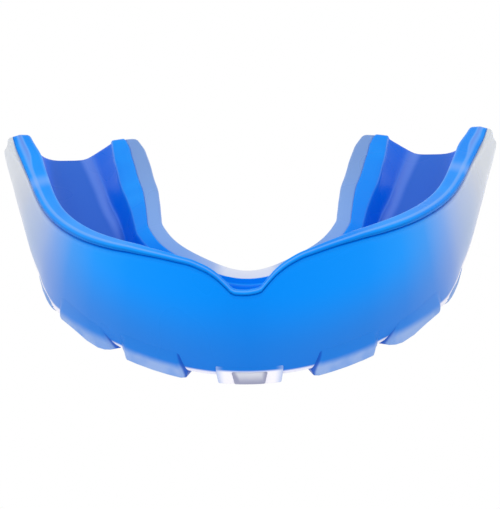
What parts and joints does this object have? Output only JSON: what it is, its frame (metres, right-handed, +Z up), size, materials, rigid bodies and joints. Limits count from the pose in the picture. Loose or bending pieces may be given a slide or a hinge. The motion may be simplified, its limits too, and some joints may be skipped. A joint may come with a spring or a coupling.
{
  "type": "mouthguard",
  "caption": "Boil-and-bite mouthguard for the upper teeth: a soft blue liner trough in a clear U-shaped shell, with shock pads and a front bridge under the bite.",
  "frame": {"origin": "centre of the guard's bounding box in plan, at the level of the pads' undersides that it stands on", "axes": "+Z up from the pads towards the flange; +X across the arch, to the wearer's left when worn and to the right when seen from the front; the front of the arch points along -Y and its open ends along +Y"},
  "size_m": [0.0714, 0.0528, 0.0179],
  "materials": {
    "liner_blue": "satin, soft thermoplastic gel, slightly translucent",
    "shell_clear": "glossy, clear soft thermoplastic with a milky tint",
    "bridge_clear": "glossy, clear soft thermoplastic",
    "insert_grey": "satin, pale grey, a little translucent",
    "pad_clear": "glossy, clear soft thermoplastic"
  },
  "bodies": {
    "root": {"gel_liner": "liner_blue", "outer_shell": "shell_clear", "front_bridge": "bridge_clear", "bridge_insert": "insert_grey", "front_pad_left": "pad_clear", "front_pad_right": "pad_clear", "middle_pad_left": "pad_clear", "middle_pad_right": "pad_clear", "rear_pad_left": "pad_clear", "rear_pad_right": "pad_clear"}
  },
  "joints": []
}
